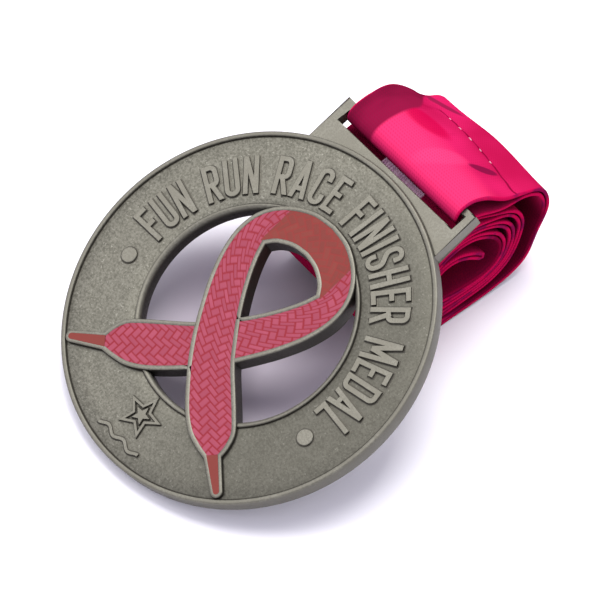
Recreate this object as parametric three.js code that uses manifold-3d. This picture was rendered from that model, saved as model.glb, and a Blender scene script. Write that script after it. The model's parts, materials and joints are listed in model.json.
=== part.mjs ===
// A cast sports finisher medal that leans on its own rolled neck ribbon.
//
// Millimetres, +Z up, standing on Z = 0. X runs along the ribbon bar, and +Y runs from the edge of the
// disc that touches the ground to the bar. The origin is the middle of the object's box, on the ground.
//
// The medal is drawn flat in its own frame first: its middle at the origin, its back on z = 0, and the
// bar in the +y direction. One group then tilts it about the ground edge of its back.

import * as THREE from "three";
import { mergeVertices } from "three/addons/utils/BufferGeometryUtils.js";
import Module from "manifold-3d";

const wasm = await Module();
wasm.setup();

// ---------------------------------------------------------------- driving dimensions

// The disc.
const DISC_RADIUS = 35;
const OPENING_RADIUS = 20;
const RIM_TOP = 3.5;
const FIELD_TOP = 3.0;
const OUTER_RIM_WIDTH = 0.9;
const INNER_RIM_WIDTH = 0.7;
const DISC_SEGMENTS = 96;

// The lug with its slot and the bar that the ribbon goes round.
const LUG_HALF_WIDTH = 17.4;
const LUG_START = 24;
const LUG_END = 40.5;
const LUG_THICKNESS = 2.5;
const SLOT_HALF_LENGTH = 15.7;
const SLOT_START = 36.1;
const BAR_WIDTH = 1.4;
const BAR_Y = LUG_END - BAR_WIDTH / 2;

// The crossed lace that fills the opening.
const LACE_TOP = 3.9;
const LACE_WALL = 0.9;
const POCKET_FLOOR = 3.1;
const ENAMEL_TOP = 3.8;
const CORAL_HALF_WIDTH = 8.2;
const EYE_CORNER = [-7.15, 11.1];
const AGLET_START = [16.1, -21.3];
const AGLET_ANGLE = Math.atan2(-3.7, 5.3);

// Raised marks on the field.
const DOT_RADIUS = 1.5;
const DOT_X = 25.2;
const DOT_Y = -7.6;
const DOT_TOP = 3.4;
const STAR_RADIUS = 4.3;
const STAR_INNER_RADIUS = 1.9;
const STAR_Y = -25.6;
const STAR_TOP = 3.45;

// The ribbon.
const RIBBON_WIDTH = 30;
const RIBBON_THICKNESS = 0.7;
const LAYER_PITCH = 1.0;
const LOOP_RADIUS = 2.15;
const ROLL_TURNS = 3;
const LAST_TURN_PART = 8 / 12;
const STEPS_PER_TURN = 12;
const THREAD_LENGTH = 24;
const THREAD_SIZE = 0.5;
const STITCH_LENGTH = 4;
const STITCH_RISE = 0.2;

// How the medal leans, and the gap that pieces keep where they meet.
const LEAN = THREE.MathUtils.degToRad(22.8);
const GAP = 0.3;
const BOX_MIDDLE_Y = 44.2;

// ---------------------------------------------------------------- solids

function solid(geometry) {
  const bare = geometry.clone();
  bare.deleteAttribute("normal");
  bare.deleteAttribute("uv");
  const merged = mergeVertices(bare, 1e-3);
  return new wasm.Manifold(new wasm.Mesh({
    numProp: 3,
    vertProperties: new Float32Array(merged.attributes.position.array),
    triVerts: new Uint32Array(merged.index.array),
  }));
}

function geometryOf(manifold) {
  const { vertProperties, triVerts } = manifold.getMesh();
  const geometry = new THREE.BufferGeometry();
  geometry.setAttribute("position", new THREE.BufferAttribute(vertProperties, 3));
  geometry.setIndex(new THREE.BufferAttribute(triVerts, 1));
  geometry.computeVertexNormals();
  return geometry;
}

function outline(points) {
  return new THREE.Shape(points.map(([x, y]) => new THREE.Vector2(x, y)));
}

function plate(points, bottom, top) {
  const geometry = new THREE.ExtrudeGeometry(outline(points), { depth: top - bottom, bevelEnabled: false });
  geometry.translate(0, 0, bottom);
  return solid(geometry);
}

function block(xRange, yRange, zRange) {
  const size = [xRange, yRange, zRange].map(([low, high]) => high - low);
  const middle = [xRange, yRange, zRange].map(([low, high]) => (high + low) / 2);
  const geometry = new THREE.BoxGeometry(...size);
  geometry.translate(...middle);
  return solid(geometry);
}

function smooth(points, steps) {
  const curve = new THREE.SplineCurve(points.map(([x, y]) => new THREE.Vector2(x, y)));
  return curve.getPoints(steps).map((point) => [point.x, point.y]);
}

function node(name, geometry, material) {
  const mesh = new THREE.Mesh(geometry, new THREE.MeshStandardMaterial(material));
  mesh.name = name;
  return mesh;
}

// ---------------------------------------------------------------- the lace

// One strand of the lace, from the top of the loop round the left side, over the middle and down to its
// aglet on the right. The other strand is its mirror image. The outer edge and the inner edge are smooth
// curves; the eye of the loop has one corner on each side.

const OUTER_EDGE = smooth([
  [0, 22.1], [-4.9, 21.3], [-9.7, 18.5], [-12.6, 14.6], [-13.4, 10], [-12.4, 5], [-10.2, 0],
  [-7.2, -5], [-3.9, -9.7], [0, -14.2], [5.2, -19.1], [8.9, -21.5], [12, -22.4], [14.9, -22.8],
], 40);

const INNER_EDGE = smooth([
  [17.0, -20.4], [16.7, -18.3], [15.6, -15.8], [13, -13.4], [10.3, -11.2], [5.9, -7.6], [2.8, -4.3],
  [0, -1.1], [-2.4, 2.1], [-4.7, 5.7], [-6.3, 8.8], EYE_CORNER,
], 30);

const EYE_EDGE = smooth([EYE_CORNER, [-5.7, 12.7], [-3, 14.1], [0, 14.6]], 10);

function agletTip() {
  const middle = [21.1, -25.1];
  const radius = 1.12;
  const steps = 8;
  const points = [];
  for (let step = 0; step <= steps; step += 1) {
    const angle = AGLET_ANGLE - Math.PI / 2 + (Math.PI * step) / steps;
    points.push([middle[0] + radius * Math.cos(angle), middle[1] + radius * Math.sin(angle)]);
  }
  return points;
}

// Moves each point of an open line sideways, to its left, by the same distance.
function inset(points, distance) {
  return points.map((point, index) => {
    const before = points[Math.max(index - 1, 0)];
    const after = points[Math.min(index + 1, points.length - 1)];
    const into = new THREE.Vector2(point[0] - before[0], point[1] - before[1]).normalize();
    const out = new THREE.Vector2(after[0] - point[0], after[1] - point[1]).normalize();
    if (into.length() === 0) into.copy(out);
    if (out.length() === 0) out.copy(into);
    const along = into.clone().add(out).normalize();
    const mitre = distance / Math.max(along.dot(into), 0.5);
    return [point[0] - along.y * mitre, point[1] + along.x * mitre];
  });
}

// The strand as a plate, its edges moved in by a margin. It passes the middle line of the loop a little,
// so that the two strands join there.
function strand(margin, bottom, top) {
  const overlap = 0.2;
  const edge = inset([...OUTER_EDGE, ...agletTip(), ...INNER_EDGE, ...EYE_EDGE.slice(1)], margin);
  const first = edge[0];
  const last = edge[edge.length - 1];
  return plate([[overlap, first[1]], ...edge, [overlap, last[1]]], bottom, top);
}

function mirrored(manifold) {
  return manifold.scale([-1, 1, 1]);
}

// ---------------------------------------------------------------- the casting

function ring() {
  const inner = OPENING_RADIUS + INNER_RIM_WIDTH;
  const outer = DISC_RADIUS - OUTER_RIM_WIDTH;
  const profile = [
    [OPENING_RADIUS, 0], [DISC_RADIUS, 0], [DISC_RADIUS, RIM_TOP], [outer, RIM_TOP],
    [outer, FIELD_TOP], [inner, FIELD_TOP], [inner, RIM_TOP], [OPENING_RADIUS, RIM_TOP],
    [OPENING_RADIUS, 0],
  ];
  const geometry = new THREE.LatheGeometry(profile.map(([r, z]) => new THREE.Vector2(r, z)), DISC_SEGMENTS);
  geometry.rotateX(Math.PI / 2);
  return solid(geometry);
}

function lug() {
  const body = block([-LUG_HALF_WIDTH, LUG_HALF_WIDTH], [LUG_START, LUG_END], [0, LUG_THICKNESS]);
  const slot = block([-SLOT_HALF_LENGTH, SLOT_HALF_LENGTH], [SLOT_START, LUG_END - BAR_WIDTH], [-1, LACE_TOP]);
  return body.subtract(slot);
}

function dot(side) {
  const height = DOT_TOP - LUG_THICKNESS;
  const geometry = new THREE.CylinderGeometry(DOT_RADIUS, DOT_RADIUS, height, 24);
  geometry.rotateX(Math.PI / 2);
  geometry.translate(side * DOT_X, DOT_Y, LUG_THICKNESS + height / 2);
  return solid(geometry);
}

function star() {
  const points = [];
  for (let corner = 0; corner < 10; corner += 1) {
    const radius = corner % 2 === 0 ? STAR_RADIUS : STAR_INNER_RADIUS;
    const angle = Math.PI / 2 + (corner * Math.PI) / 5;
    points.push([radius * Math.cos(angle), STAR_Y + radius * Math.sin(angle)]);
  }
  return plate(points, LUG_THICKNESS, STAR_TOP);
}

function casting() {
  const front = strand(0, 0, LACE_TOP);
  const frontPocket = strand(LACE_WALL, POCKET_FLOOR, LACE_TOP + 1);
  const rearPocket = mirrored(frontPocket).subtract(strand(0, POCKET_FLOOR - 1, LACE_TOP + 2).intersect(
    block([-30, 30], [-30, EYE_CORNER[1]], [0, 10]),
  ));
  return ring()
    .add(lug())
    .add(dot(-1))
    .add(dot(1))
    .add(star())
    .add(front)
    .add(mirrored(front))
    .subtract(frontPocket)
    .subtract(rearPocket);
}

// ---------------------------------------------------------------- the enamel

// A large block on the far side of a line through a point, at an angle: what is kept of a strand.
function beyond(point, angle) {
  const reach = 60;
  const geometry = new THREE.BoxGeometry(reach, reach, 20);
  geometry.translate(reach / 2, 0, 0);
  geometry.rotateZ(angle);
  geometry.translate(point[0], point[1], 0);
  return solid(geometry);
}

function enamel() {
  const fill = strand(LACE_WALL + GAP / 2, POCKET_FLOOR + GAP / 2, ENAMEL_TOP);
  const aglet = beyond(AGLET_START, AGLET_ANGLE);
  const aboveCorner = block([-CORAL_HALF_WIDTH, CORAL_HALF_WIDTH], [EYE_CORNER[1], 30], [0, 10]);
  const braidCut = block(
    [-CORAL_HALF_WIDTH - GAP, CORAL_HALF_WIDTH + GAP],
    [EYE_CORNER[1] - GAP, 30],
    [0, 10],
  );
  const agletCut = beyond([AGLET_START[0] - GAP, AGLET_START[1]], AGLET_ANGLE);
  const frontStrand = strand(-GAP / 2, 0, 10).intersect(block([-30, 30], [-30, EYE_CORNER[1]], [0, 12]));
  const front = fill.subtract(braidCut).subtract(agletCut);
  const rear = mirrored(front).subtract(frontStrand);
  const upper = block([0, 30], [-30, 30], [0, 10]);
  return {
    enamel_front_strand: front,
    enamel_rear_strand: rear.intersect(upper),
    enamel_left_tail: rear.subtract(upper),
    enamel_loop_turn: fill.add(mirrored(fill)).intersect(aboveCorner),
    enamel_right_aglet: fill.intersect(aglet),
    enamel_left_aglet: mirrored(fill.intersect(aglet)),
  };
}

// ---------------------------------------------------------------- the ribbon

// The ribbon is one closed band. It goes round the bar, is sewn across behind it, and then both runs are
// rolled up together. The roll's middle line is worked out in the YZ plane, with y from the ground edge
// of the disc. Each guide is one lap of the roll, from the seam backwards, down, forwards and up again:
// the outermost lap, the lap inside it and the innermost lap.

const OUTER_LAP = [
  [82.5, 24.9], [88.9, 19.4], [88.6, 12.5], [85.2, 5.2], [79, 1.9], [69, 1.1], [59, 1.2],
  [52.6, 4.8], [54.2, 12.6], [59.6, 20.6], [66, 24.9], [74, 25.4],
];
const SECOND_LAP = [
  [78.6, 22.6], [82.6, 17.6], [82.9, 12.5], [80.8, 7.6], [76.4, 4.2], [68.5, 3], [59.5, 3],
  [54.7, 6.4], [56.3, 12.8], [61, 19.6], [66.3, 23.8], [72.8, 24.8],
];
const INNER_LAP = [
  [72.8, 18], [76.2, 14.8], [77, 11.2], [75.4, 8.6], [72, 7.9], [67, 8.2], [62.6, 9],
  [60.1, 10.8], [60.3, 14], [62, 17], [65, 19], [69, 19.6],
];
const TONGUE = [[63.6, 17.2], [67, 17.6], [70.4, 16], [73.2, 13.6]];

const SEAM = OUTER_LAP[0];
const BAR_AXIS = [
  (BAR_Y + DISC_RADIUS) * Math.cos(LEAN) - (LUG_THICKNESS / 2) * Math.sin(LEAN),
  (BAR_Y + DISC_RADIUS) * Math.sin(LEAN) + (LUG_THICKNESS / 2) * Math.cos(LEAN),
];
const TOP_RUN = [[70.4, 32.4], [74.4, 31.2], [78.4, 28.8], [81.2, 26.7]];
const BOTTOM_RUN = [[79.8, 25.6], [76, 27], [72.2, 27.8]];

// A point of a lap, by how far round it is, on the smooth closed curve through its guide points.
function lapPoint(lap, part) {
  const curve = new THREE.CatmullRomCurve3(lap.map(([y, z]) => new THREE.Vector3(0, y, z)), true);
  const point = curve.getPoint(((part % 1) + 1) % 1);
  return new THREE.Vector2(point.y, point.z);
}

// The middle line of the doubled ribbon, from the seam to the middle of the roll. The first turn stays on
// the outermost lap for half its way and then moves in to the second lap, and the turns after it move
// from the second lap to the innermost.
function rollLine() {
  const turns = ROLL_TURNS + LAST_TURN_PART;
  const steps = Math.round(turns * STEPS_PER_TURN);
  const points = [];
  for (let step = 0; step <= steps; step += 1) {
    const turn = (step / steps) * turns;
    const onSecond = THREE.MathUtils.clamp(2 * turn - 1, 0, 1);
    const inward = Math.max(turn - 1, 0) / (turns - 1);
    const first = lapPoint(OUTER_LAP, turn);
    const second = lapPoint(SECOND_LAP, turn);
    const last = lapPoint(INNER_LAP, turn);
    points.push(first.lerp(second, onSecond).lerp(last, inward));
  }
  const tongue = TONGUE.map(([y, z]) => new THREE.Vector2(y, z));
  return new THREE.SplineCurve([...points, ...tongue]).getPoints(steps + tongue.length)
    .map((point) => [point.x, point.y]);
}

// Half a circle round the end of a line, from the point on its right to the point on its left.
function foldAround(line, radius) {
  const [end, before] = [line[line.length - 1], line[line.length - 2]];
  const heading = Math.atan2(end[1] - before[1], end[0] - before[0]);
  const points = [];
  for (let step = 1; step < 6; step += 1) {
    const angle = heading + Math.PI / 2 - (Math.PI * step) / 6;
    points.push([end[0] + radius * Math.cos(angle), end[1] + radius * Math.sin(angle)]);
  }
  return points;
}

// The band's own middle line inside the roll: in along one side of the doubled line and back along the other.
function rolledBand() {
  const line = rollLine();
  const outer = inset(line, LAYER_PITCH / 2);
  const inner = inset(line, -LAYER_PITCH / 2);
  return [...outer, ...foldAround(line, LAYER_PITCH / 2), ...inner.reverse()];
}

// The band's middle line round the bar: from the seam under the bar, round its front and back over it.
function loopBand() {
  const around = [];
  for (let step = 0; step <= 8; step += 1) {
    const angle = -Math.PI / 2 - (Math.PI * step) / 8;
    around.push([
      BAR_AXIS[0] + LOOP_RADIUS * Math.cos(angle),
      BAR_AXIS[1] + LOOP_RADIUS * Math.sin(angle),
    ]);
  }
  return smooth([...BOTTOM_RUN, ...around, ...TOP_RUN], 48);
}

function strip(line) {
  const half = RIBBON_THICKNESS / 2;
  const section = outline([...inset(line, half), ...inset(line, -half).reverse()]);
  const geometry = new THREE.ExtrudeGeometry(section, { depth: RIBBON_WIDTH, bevelEnabled: false });
  geometry.translate(0, 0, -RIBBON_WIDTH / 2);
  geometry.applyMatrix4(new THREE.Matrix4().makeBasis(
    new THREE.Vector3(0, 1, 0),
    new THREE.Vector3(0, 0, 1),
    new THREE.Vector3(1, 0, 0),
  ));
  return geometry;
}

// The seam's thread: one row of stitches across the ribbon, on the outer run just behind the seam.
function seamThread() {
  const lift = (LAYER_PITCH + RIBBON_THICKNESS + THREAD_SIZE) / 2 + GAP + STITCH_RISE;
  const row = [SEAM[0] + 1.4 + lift * Math.SQRT1_2, SEAM[1] - 1.1 + lift * Math.SQRT1_2];
  const steps = 36;
  const points = [];
  for (let step = 0; step <= steps; step += 1) {
    const x = (step / steps - 0.5) * THREAD_LENGTH;
    const rise = STITCH_RISE * Math.cos((2 * Math.PI * x) / STITCH_LENGTH);
    points.push(new THREE.Vector3(x, row[0] + rise * Math.SQRT1_2, row[1] + rise * Math.SQRT1_2));
  }
  const section = new THREE.Shape();
  section.absarc(0, 0, THREAD_SIZE / 2, 0, 2 * Math.PI);
  return new THREE.ExtrudeGeometry(section, {
    extrudePath: new THREE.CatmullRomCurve3(points),
    steps,
    curveSegments: 8,
    bevelEnabled: false,
  });
}

// ---------------------------------------------------------------- the object

const METAL = { color: 0x8f8c80, metalness: 1, roughness: 0.45 };
const PINK_ENAMEL = { color: 0xdc5c7c, metalness: 0, roughness: 0.35 };
const CORAL_ENAMEL = { color: 0xb44c4c, metalness: 0, roughness: 0.35 };
const RIBBON_CLOTH = { color: 0xdc1a62, metalness: 0, roughness: 0.6 };
const THREAD = { color: 0xe8b8c4, metalness: 0, roughness: 0.8 };

const medal = new THREE.Group();
medal.add(node("medal_casting", geometryOf(casting()), METAL));
for (const [name, fill] of Object.entries(enamel())) {
  const braided = !name.includes("aglet") && !name.includes("turn");
  medal.add(node(name, geometryOf(fill), braided ? PINK_ENAMEL : CORAL_ENAMEL));
}
medal.position.set(0, DISC_RADIUS * Math.cos(LEAN), DISC_RADIUS * Math.sin(LEAN));
medal.rotation.x = LEAN;

const lanyard = new THREE.Group();
lanyard.add(node("ribbon_bar_loop", strip(loopBand()), RIBBON_CLOTH));
lanyard.add(node("ribbon_roll", strip(rolledBand()), RIBBON_CLOTH));
lanyard.add(node("seam_thread", seamThread(), THREAD));

const finisherMedal = new THREE.Group();
finisherMedal.add(medal, lanyard);
finisherMedal.position.y = -BOX_MIDDLE_Y;

export default finisherMedal;
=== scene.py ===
"""The looks of a cast sports finisher medal that leans on its own rolled neck ribbon.

Sizes are in millimetres. The medal is drawn flat: its middle at the origin, its back on z = 0 and the
ribbon bar in the +y direction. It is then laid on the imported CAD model, whose hinge and back face say
where that plane is. The ribbon is drawn in the YZ plane, with y from the ground edge of the disc.
"""
import json
import math

import bpy
import numpy as np
from mathutils import Matrix, Vector


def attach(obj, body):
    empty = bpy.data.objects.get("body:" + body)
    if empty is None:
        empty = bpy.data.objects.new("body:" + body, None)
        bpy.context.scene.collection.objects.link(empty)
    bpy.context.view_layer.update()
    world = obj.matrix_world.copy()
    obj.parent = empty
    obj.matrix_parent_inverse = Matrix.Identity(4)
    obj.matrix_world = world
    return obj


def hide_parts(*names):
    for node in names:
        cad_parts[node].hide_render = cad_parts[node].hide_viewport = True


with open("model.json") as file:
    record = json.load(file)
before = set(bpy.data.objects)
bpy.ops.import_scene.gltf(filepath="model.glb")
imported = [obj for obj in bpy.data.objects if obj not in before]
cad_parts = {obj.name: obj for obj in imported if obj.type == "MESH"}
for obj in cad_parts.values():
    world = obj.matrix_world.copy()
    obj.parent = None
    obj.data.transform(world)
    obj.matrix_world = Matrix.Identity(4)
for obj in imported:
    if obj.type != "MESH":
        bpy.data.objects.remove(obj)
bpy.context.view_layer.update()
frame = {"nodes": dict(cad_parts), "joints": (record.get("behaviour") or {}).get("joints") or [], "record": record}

MM = 0.001

# -------- driving sizes

DISC_RADIUS = 35.0
OPENING_RADIUS = 20.0
RIM_TOP = 3.5
FIELD_TOP = 3.0
RING_COLUMNS = 240

LUG_HALF_WIDTH = 17.4
LUG_END = 40.5
LUG_THICKNESS = 2.5
LUG_ROOT_RADIUS = 34.5
LUG_BEVEL = 0.22
SLOT_HALF_LENGTH = 15.7
SLOT_START = 36.1
BAR_WIDTH = 1.4
BAR_Y = LUG_END - BAR_WIDTH / 2

LACE_TOP = 3.9
LACE_WALL = 0.8
LACE_BOTTOM = 0.05
WALL_TUCK = 0.35
POCKET_FLOOR = 3.25
POCKET_INSET = 0.3
ENAMEL_TOP = 3.82
ENAMEL_BOTTOM = 3.3
ENAMEL_INSET = 0.75
ENAMEL_TUCK = 0.4
ENAMEL_RELIEF = {"pink_enamel": 0.05, "coral_enamel": 0.015}
AGLET_INSET = 0.55
AGLET_TOP = LACE_TOP + 0.015
EYE_CORNER = (-7.15, 11.1)
CORAL_HALF_WIDTH = 8.4
AGLET_OVERLAP = (0.35, -0.25)

LETTER_HEIGHT = 7.3
LETTER_STROKE = 0.94
LETTER_BASE_RADIUS = 22.95
LETTER_RISE = 0.5
STROKE_STEP = 0.004
WORD_SPACE = 1.7
READING_HEIGHT = 1.5
LETTERING = "FUN RUN RACE FINISHER MEDAL"
LETTERING_START = 185.0
LETTERING_END = -8.0

DOT_RADIUS = 1.5
DOT_PLACE = (25.2, -7.6)
DOT_RISE = 0.4
DOT_EASE = 0.14
STAR_RADIUS = 4.3
STAR_INNER_RADIUS = 1.9
STAR_Y = -25.6
STAR_RISE = 0.45
WAVE_RISE = 0.4
WAVE_WIDTH = 0.6
WAVE_Y = -31.3
WAVE_HALF_LENGTH = 5.2
WAVE_HEIGHT = 0.42
WAVE_LENGTH = 4.2
MARK_FOOT = FIELD_TOP - 0.1
MARK_DRAFT = 0.05
MARK_EASE = 0.05
PATINA_LINE = 0.23
PATINA_LINE_RISE = 0.012

BLOCK_WIDTH = 1.15
BLOCK_RATIO = 2
BLOCK_GAP = 0.13

RIBBON_WIDTH = 30.0
RIBBON_THICKNESS = 0.76
RIBBON_COLUMNS = 31
RIBBON_STEP = 0.8
EDGE_ROUNDING = 0.32
FLOOR_GAP = 0.02
RUN_SPACING = 1.0
LOOP_RADIUS = 2.15
ROLL_TURNS = 3 + 8 / 12
LAP_STEPS = 720
UNDER_RUN = (82.0, 96.0)
UNDER_EASE = 8.0
UNDER_SHIFT = 1.3
# size and place (across, along) of a pale lilac patch on the cloth that shows through the slot
PALE_PATCH_SIZE = (11.0, 5.0)
PALE_PATCH_PLACE = (0.4, 88.7)

SEAM_MIDDLE = 1.8
SEAM_SLANT = -0.18
SEAM_REACH = 0.7
SEAM_DEPTH = 0.32
SEAM_RIPPLE = 0.06
STITCH_LENGTH = 3.27
THREAD_START = -9.5
THREAD_END = 8.1
THREAD_DIAMETER = 0.36
THREAD_DEPTH = 0.7
THREAD_WAVE = 0.32

# -------- where the CAD model is

HINGE = frame["joints"][0]
BACK_FACE = frame["record"]["mounts"][0]
LEAN = math.atan2(BACK_FACE["axis"][1], -BACK_FACE["axis"][2])
MEDAL_FRAME = (
    Matrix.Translation(Vector(HINGE["pos_m"]))
    @ Matrix.Rotation(LEAN, 4, "X")
    @ Matrix.Scale(MM, 4)
    @ Matrix.Translation((0, -BAR_Y, -LUG_THICKNESS / 2))
)
GROUND_EDGE = MEDAL_FRAME @ Vector((0, -DISC_RADIUS, 0))
RIBBON_FRAME = Matrix.Translation((0, GROUND_EDGE.y, 0)) @ Matrix.Scale(MM, 4)
BAR_AXIS = (RIBBON_FRAME.inverted() @ Vector(HINGE["pos_m"])).yz

# -------- the camera

CAMERA_AZIMUTH = math.radians(51.2)
CAMERA_ELEVATION = math.radians(54.1)
CAMERA_TARGET = Vector((1.5, -2.2, 12.9)) * MM
CAMERA_DISTANCE = 542 * MM
CAMERA_LENS = 182.4
CAMERA_SENSOR = 36


def make_camera():
    data = bpy.data.cameras.new("camera")
    data.lens = CAMERA_LENS
    data.sensor_width = CAMERA_SENSOR
    data.clip_start = 0.01
    camera = bpy.data.objects.new("camera", data)
    bpy.context.scene.collection.objects.link(camera)
    back = Vector((
        math.sin(CAMERA_AZIMUTH) * math.cos(CAMERA_ELEVATION),
        -math.cos(CAMERA_AZIMUTH) * math.cos(CAMERA_ELEVATION),
        math.sin(CAMERA_ELEVATION),
    ))
    camera.location = CAMERA_TARGET + back * CAMERA_DISTANCE
    camera.rotation_euler = (-back).to_track_quat("-Z", "Y").to_euler()
    bpy.context.scene.camera = camera


# -------- meshes

def new_piece(
    name, points, faces, material, body="medal", placing=MEDAL_FRAME,
    attributes=None, crease=50,
):
    """A smooth-shaded mesh from points in millimetres, put in its place and riding on a body."""
    mesh = bpy.data.meshes.new(name)
    mesh.from_pydata(np.asarray(points, float).tolist(), [], [list(face) for face in faces])
    for key, values in (attributes or {}).items():
        layer = mesh.attributes.new(key, "FLOAT", "POINT")
        layer.data.foreach_set("value", np.array(values, np.float32).ravel())
    mesh.transform(placing)
    mesh.polygons.foreach_set("use_smooth", [True] * len(mesh.polygons))
    mesh.set_sharp_from_angle(angle=math.radians(crease))
    mesh.materials.append(material)
    piece = bpy.data.objects.new(name, mesh)
    bpy.context.scene.collection.objects.link(piece)
    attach(piece, body)
    return piece


def grid_faces(rows, columns, closed_rows=False, closed_columns=False):
    """Quads of a grid whose point (row, column) has the number row * columns + column."""
    row = np.arange(rows if closed_rows else rows - 1)[:, None]
    column = np.arange(columns if closed_columns else columns - 1)[None, :]
    next_row = (row + 1) % rows
    next_column = (column + 1) % columns
    corners = [
        row * columns + column,
        next_row * columns + column,
        next_row * columns + next_column,
        row * columns + next_column,
    ]
    return np.stack(corners, axis=-1).reshape(-1, 4)


def at_height(line, height):
    """A line's points with one more coordinate, the same for all of them."""
    return np.column_stack([line, np.full(len(line), height)])


def slab(flat, top, bottom, faces):
    """Closes a flat sheet of faces into a solid, from its top heights to one bottom height."""
    count = len(flat)
    upper = np.column_stack([flat, np.broadcast_to(top, count)])
    edges = dict.fromkeys(pair for face in faces for pair in zip(face, [*face[1:], face[0]]))
    sides = [
        (there, here, here + count, there + count)
        for here, there in edges
        if (there, here) not in edges
    ]
    under = [[index + count for index in reversed(face)] for face in faces]
    return np.vstack([upper, at_height(flat, bottom)]), [*faces, *under, *sides]


def used_only(points, faces, *values):
    """Drops the points that no face uses."""
    used, numbers = np.unique(faces, return_inverse=True)
    return points[used], numbers.reshape(faces.shape).tolist(), [v[used] for v in values]


def swept(sides, section):
    """A solid swept along a path, from the lines that its section's corners trace."""
    rows = [at_height(side, height) for side, (_, height) in zip(sides, section)]
    points = np.stack(rows, axis=1).reshape(-1, 3)
    faces = grid_faces(len(sides[0]), len(sides), closed_columns=True).tolist()
    start_cap = list(range(len(sides)))
    end_cap = [len(points) - 1 - index for index in start_cap]
    return points, [*faces, start_cap[::-1], end_cap[::-1]]


def merged(parts):
    """Several (points, faces) pairs as one."""
    all_faces = []
    count = 0
    for points, faces in parts:
        all_faces += [[index + count for index in face] for face in faces]
        count += len(points)
    return np.vstack([points for points, _ in parts]), all_faces


# -------- curves in a plane

def spline(guides, steps, closed=False):
    """The Catmull-Rom curve through the guides, as steps + 1 points spread evenly over them."""
    guides = np.asarray(guides, float)
    count = len(guides)
    spans = count if closed else count - 1
    place = np.linspace(0, spans, steps + 1)
    span = np.minimum(place.astype(int), spans - 1)
    part = (place - span)[:, None]

    def guide(index):
        return guides[index % count] if closed else guides[np.clip(index, 0, count - 1)]

    before, start, end, after = (guide(span + shift) for shift in (-1, 0, 1, 2))
    slope_in = (end - before) / 2
    slope_out = (after - start) / 2
    return (
        (2 * start - 2 * end + slope_in + slope_out) * part**3
        + (-3 * start + 3 * end - 2 * slope_in - slope_out) * part**2
        + slope_in * part
        + start
    )


def lengths_along(path):
    return np.concatenate([[0], np.cumsum(np.linalg.norm(np.diff(path, axis=0), axis=1))])


def resample(path, count):
    """The path as count points, evenly spaced along it."""
    along = lengths_along(path)
    wanted = np.linspace(0, along[-1], count)
    return np.column_stack([np.interp(wanted, along, values) for values in path.T])


def unit(vectors):
    return vectors / np.maximum(np.linalg.norm(vectors, axis=-1, keepdims=True), 1e-9)


def inset(path, distance):
    """The path moved sideways, to its left, with mitred corners."""
    steps = unit(np.diff(path, axis=0))
    into = np.vstack([steps[:1], steps])
    along = unit(into + np.vstack([steps, steps[-1:]]))
    mitre = distance / np.maximum((along * into).sum(axis=1), 0.5)
    return path + np.column_stack([-along[:, 1], along[:, 0]]) * mitre[:, None]


def arc(middle, radius, start, end, steps):
    """Points on an arc, its angles in degrees, either way round."""
    angle = np.radians(np.linspace(start, end, steps + 1))
    return np.column_stack([middle[0] + radius * np.cos(angle), middle[1] + radius * np.sin(angle)])


def smoothstep(low, high, value):
    part = np.clip((value - low) / (high - low), 0, 1)
    return part * part * (3 - 2 * part)


# -------- the lettering

def letter_strokes():
    """Each letter's width and the middle lines of its strokes, on a baseline at y = 0."""
    top = LETTER_HEIGHT
    half = LETTER_STROKE / 2
    narrow, medium, a_width, broad = 2.55, 2.95, 3.2, 3.9
    right = medium - half
    bowl = medium / 2 - half
    waist = 0.52 * top
    terminal = 2.3
    corner = 0.9

    def stem(x):
        return [(x, 0), (x, top)]

    def bar(y, start, end):
        return [(start, y), (end, y)]

    def bowl_side(foot):
        """From the stem's top out, down round two corners and back to the stem."""
        return [
            (half, top - half),
            *arc((right - corner, top - half - corner), corner, 90, 0, 6),
            *arc((right - corner, foot + corner), corner, 0, -90, 6),
            (half, foot),
        ]

    lower_bowl = arc((medium / 2, medium / 2), bowl, 180, 360, 12)
    upper_bowl = arc((medium / 2, top - medium / 2), bowl, 0, 180, 12)
    s_guides = [
        (right, top - terminal),
        *upper_bowl,
        (half, top - terminal),
        (half + 0.35, 0.58 * top),
        (right - 0.35, 0.42 * top),
        (right, terminal),
        *lower_bowl[::-1],
        (half, terminal),
    ]
    return {
        "F": (narrow, [stem(half), bar(top - half, 0, narrow), bar(waist, half, 0.88 * narrow)]),
        "U": (medium, [[(half, top), *lower_bowl, (right, top)]]),
        "N": (medium, [stem(half), stem(right), [(half, top), (right, 0)]]),
        "R": (medium, [stem(half), bowl_side(waist - half), [(0.42 * medium, waist), (right + 0.1, 0)]]),
        "A": (a_width, [
            [(half, 0), (a_width / 2, top)],
            [(a_width - half, 0), (a_width / 2, top)],
            bar(0.26 * top, 0.7, a_width - 0.7),
        ]),
        "C": (medium, [[(right, top - terminal), *upper_bowl, *lower_bowl, (right, terminal)]]),
        "E": (narrow, [
            stem(half),
            bar(top - half, 0, narrow),
            bar(half, 0, narrow),
            bar(waist, half, 2.2),
        ]),
        "I": (LETTER_STROKE, [stem(half)]),
        "S": (medium, [spline(s_guides, 110)]),
        "H": (medium, [stem(half), stem(right), bar(top / 2, half, right)]),
        "M": (broad, [
            stem(half),
            stem(broad - half),
            [(half, top), (broad / 2, 0.25 * top)],
            [(broad - half, top), (broad / 2, 0.25 * top)],
        ]),
        "D": (medium, [stem(half), bowl_side(half)]),
        "L": (narrow, [stem(half), bar(half, 0, narrow)]),
    }


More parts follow.
